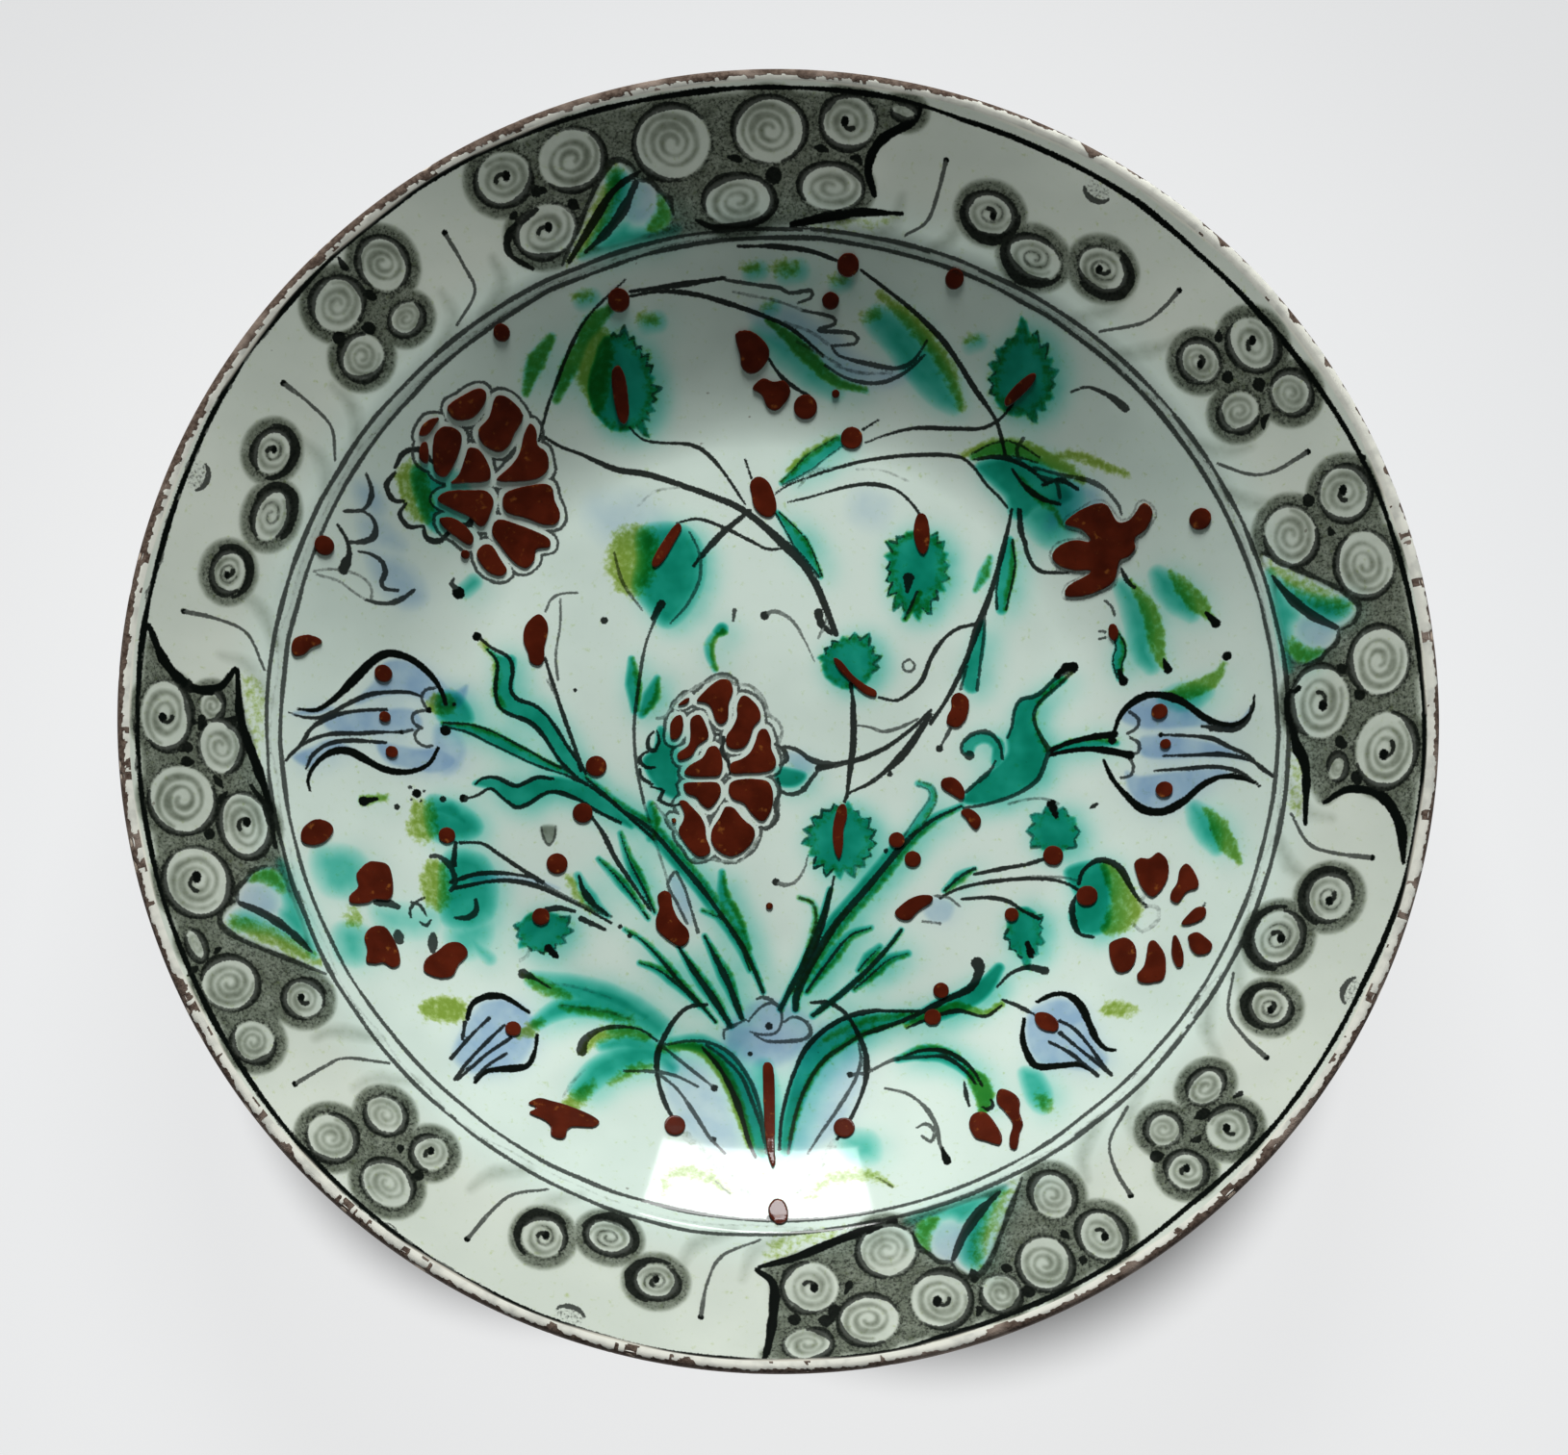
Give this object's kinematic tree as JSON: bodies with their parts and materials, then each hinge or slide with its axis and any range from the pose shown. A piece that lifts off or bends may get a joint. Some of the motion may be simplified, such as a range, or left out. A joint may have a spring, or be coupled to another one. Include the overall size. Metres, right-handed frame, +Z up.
{
  "type": "painted ceramic dish",
  "caption": "Round footed dish with a deep well and flat rim, underglaze flower painting and raised red slip, for serving or display.",
  "frame": {"origin": "centre of the plane that the foot ring stands on", "axes": "+Z up through the centre of the dish towards the painted face, -Y towards the bottom of the painted bouquet, +X to its right"},
  "size_m": [0.3, 0.3, 0.06],
  "materials": {
    "stonepaste": "matt bare fired body",
    "white_slip": "matt white slip",
    "clear_glaze": "gloss clear glaze with a faint green cast",
    "red_slip": "gloss raised iron-red slip"
  },
  "bodies": {
    "root": {"stonepaste_body": "stonepaste", "foot_ring": "stonepaste", "front_slip": "white_slip", "back_slip": "white_slip", "front_glaze": "clear_glaze", "back_glaze": "clear_glaze", "red_left_carnation": "red_slip", "red_centre_carnation": "red_slip", "red_small_carnations": "red_slip", "red_iris": "red_slip", "red_tulip_spots": "red_slip", "red_leaf_pods": "red_slip", "red_buds": "red_slip", "red_berries": "red_slip"}
  },
  "joints": []
}
